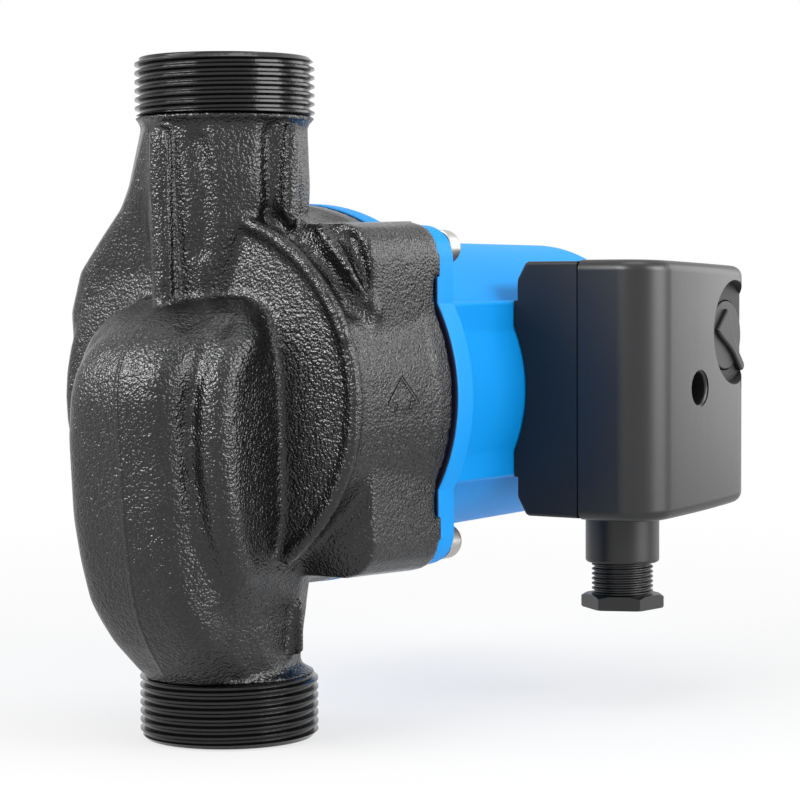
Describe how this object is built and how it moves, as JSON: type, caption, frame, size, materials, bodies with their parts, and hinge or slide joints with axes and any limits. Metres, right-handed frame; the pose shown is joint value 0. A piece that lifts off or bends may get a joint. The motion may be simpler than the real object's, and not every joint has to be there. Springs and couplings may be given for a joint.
{
  "type": "circulator pump",
  "caption": "In-line wet-rotor heating pump: cast casing with threaded ports, round motor, side terminal box with speed knob and cable gland.",
  "frame": {"origin": "on the port axis, midway between the port faces, where the motor axis crosses it", "axes": "+Z along the port axis to the discharge port, +X along the motor axis to the motor end, -Y to the terminal box"},
  "size_m": [0.2167, 0.1371, 0.18],
  "materials": {
    "casing": "black coat over sand-cast iron",
    "motor_paint": "satin blue paint on die-cast aluminium",
    "moulding": "satin charcoal moulding with a fine grain",
    "inner_moulding": "plain moulding",
    "zinc": "zinc-plated steel",
    "steel": "stainless and electrical steel",
    "carbon": "carbon and ceramic bush",
    "plug_brass": "turned brass",
    "copper": "enamelled copper wire",
    "rubber": "black rubber"
  },
  "bodies": {
    "pump": {"base_screw_1": "zinc", "base_screw_2": "zinc", "bearing_plate": "steel", "box_gasket": "rubber", "capacitor": "inner_moulding", "casing_seal": "rubber", "cover_screw": "zinc", "flange_screw_1": "zinc", "flange_screw_2": "zinc", "flange_screw_3": "zinc", "flange_screw_4": "zinc", "front_bearing": "carbon", "gland_body": "moulding", "gland_seal": "rubber", "gland_washer": "zinc", "motor_housing": "motor_paint", "rear_bearing": "carbon", "rotor_can": "steel", "speed_switch": "inner_moulding", "stator_core": "steel", "terminal_base": "moulding", "terminal_block": "inner_moulding", "terminal_cover": "moulding", "vent_seal": "rubber", "volute_casing": "casing", "wear_ring": "steel", "winding_front": "copper", "winding_rear": "copper"},
    "rotor": {"shaft": "steel", "rotor_core": "steel", "impeller": "inner_moulding", "thrust_ring": "carbon"},
    "knob": {"speed_knob": "moulding"},
    "gland_clamp": {"gland_screw": "moulding"},
    "vent": {"vent_plug": "plug_brass"}
  },
  "joints": [
    {"name": "rotor_spin", "type": "hinge", "parent": "pump", "child": "rotor", "pos_m": [0, 0, 0], "axis": [1, 0, 0], "continuous": true},
    {"name": "knob_turn", "type": "hinge", "parent": "pump", "child": "knob", "pos_m": [0.135, -0.0786, 0.0146], "axis": [0, -1, 0], "range_deg": [0, 116]},
    {"name": "gland_turn", "type": "hinge", "parent": "pump", "child": "gland_clamp", "pos_m": [0.111, -0.0596, -0.0509], "axis": [0, 0, -1], "range_deg": [0, 720]},
    {"name": "vent_turn", "type": "hinge", "parent": "pump", "child": "vent", "pos_m": [0.166, 0, 0], "axis": [1, 0, 0], "range_deg": [0, 720]}
  ]
}
